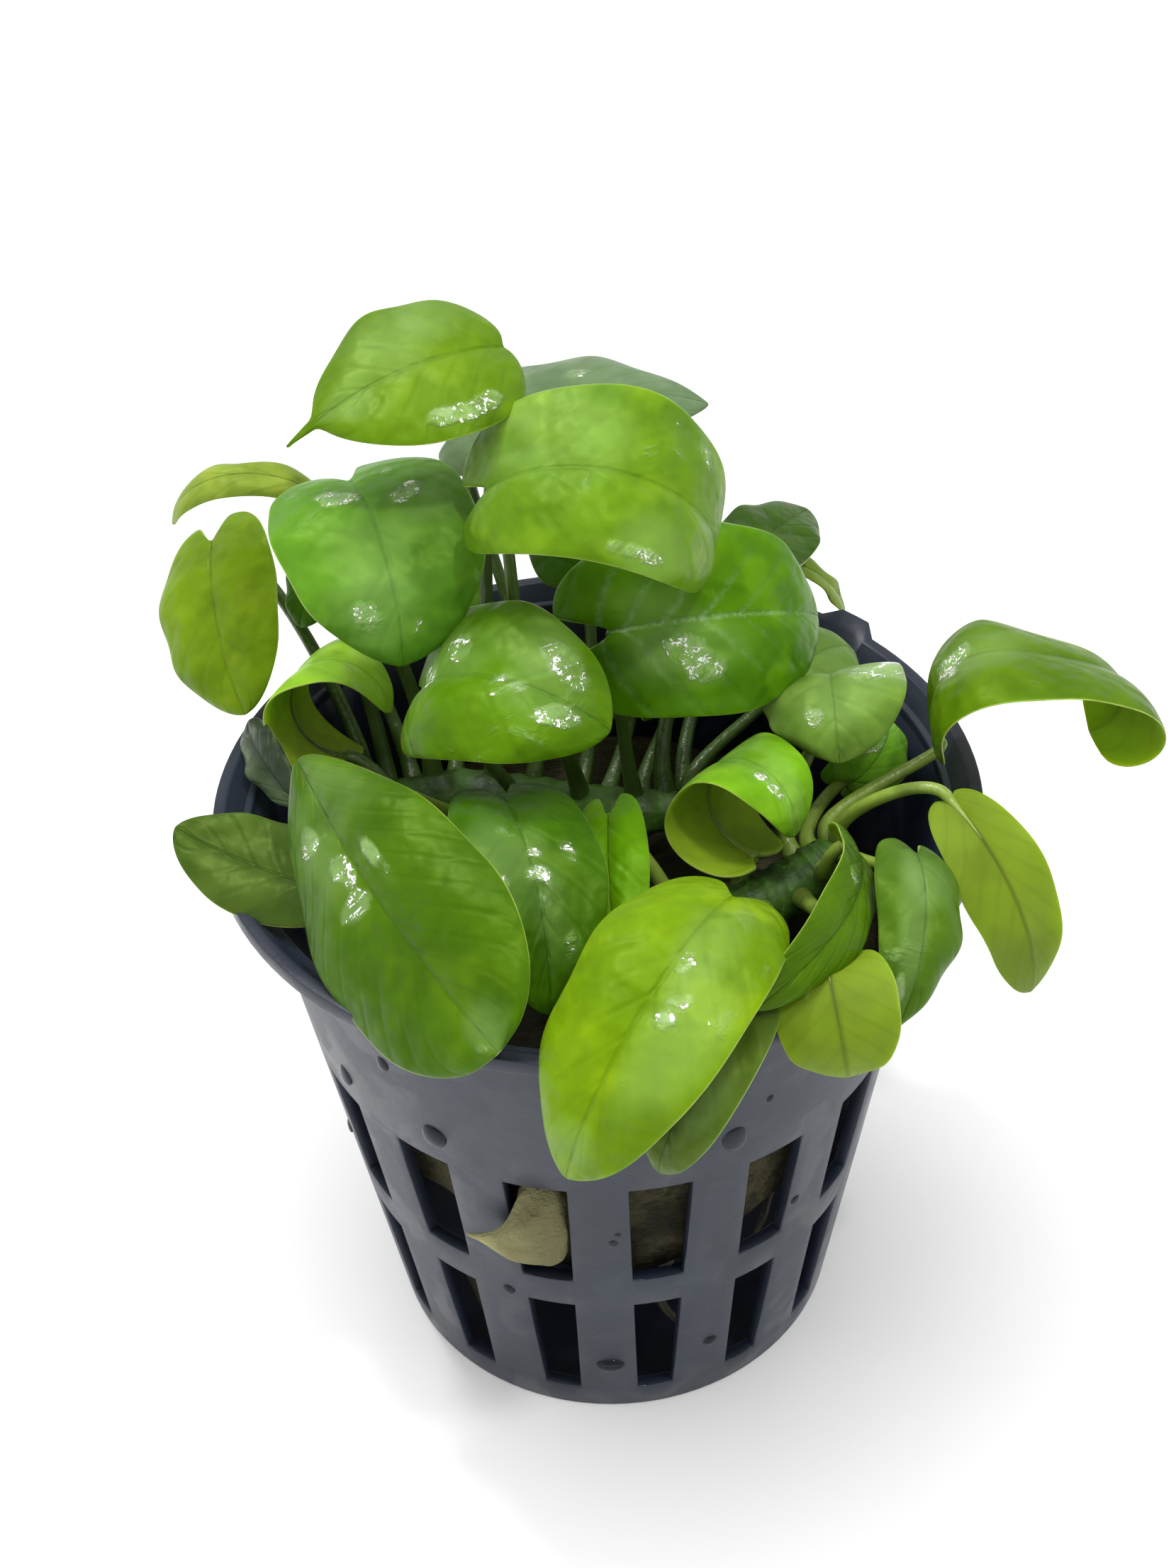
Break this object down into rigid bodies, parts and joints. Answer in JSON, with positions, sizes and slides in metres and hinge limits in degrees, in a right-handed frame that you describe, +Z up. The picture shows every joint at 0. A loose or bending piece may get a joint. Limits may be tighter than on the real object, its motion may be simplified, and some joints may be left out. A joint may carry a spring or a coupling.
{
  "type": "potted anubias",
  "caption": "Low aquarium plant with glossy oval and heart-shaped leaves on creeping stems, rooted in a wool plug in a dark slotted net pot.",
  "frame": {"origin": "centre of the underside of the pot, on the surface it stands on", "axes": "+Z up through the plant; -Y is the front, where the lowest leaf hangs over the lip; X runs across it"},
  "size_m": [0.072, 0.0642, 0.08],
  "materials": {
    "pot_plastic": "satin",
    "stone_wool": "matte",
    "rhizome_skin": "satin",
    "root_skin": "matte",
    "leaf": "gloss"
  },
  "bodies": {
    "root": {"net_pot": "pot_plastic", "wool_plug": "stone_wool", "rhizome_left": "rhizome_skin", "rhizome_right": "rhizome_skin", "root_front": "root_skin", "root_front_left": "root_skin", "root_right": "root_skin", "root_back": "root_skin", "root_centre": "root_skin", "leaf_crown_left": "leaf", "leaf_crown_centre": "leaf", "leaf_left_heart": "leaf", "leaf_centre_dome": "leaf", "leaf_right_round": "leaf", "leaf_back_grey": "leaf", "leaf_left_curl": "leaf", "leaf_left_hanging": "leaf", "leaf_left_under": "leaf", "leaf_left_roll": "leaf", "leaf_left_narrow": "leaf", "leaf_left_rim": "leaf", "leaf_front_left": "leaf", "leaf_front_centre": "leaf", "leaf_front_inner": "leaf", "leaf_front_bright": "leaf", "leaf_front_under": "leaf", "leaf_right_arch": "leaf", "leaf_right_heart": "leaf", "leaf_right_inner": "leaf", "leaf_far_right": "leaf", "leaf_right_hanging": "leaf", "leaf_right_folded": "leaf", "leaf_right_sweep": "leaf", "leaf_right_pale": "leaf", "leaf_back_right": "leaf", "leaf_back_sliver": "leaf", "leaf_right_low": "leaf", "leaf_rear_left": "leaf", "leaf_rear_centre": "leaf", "leaf_rear_right": "leaf", "leaf_rear_low": "leaf"}
  },
  "joints": []
}
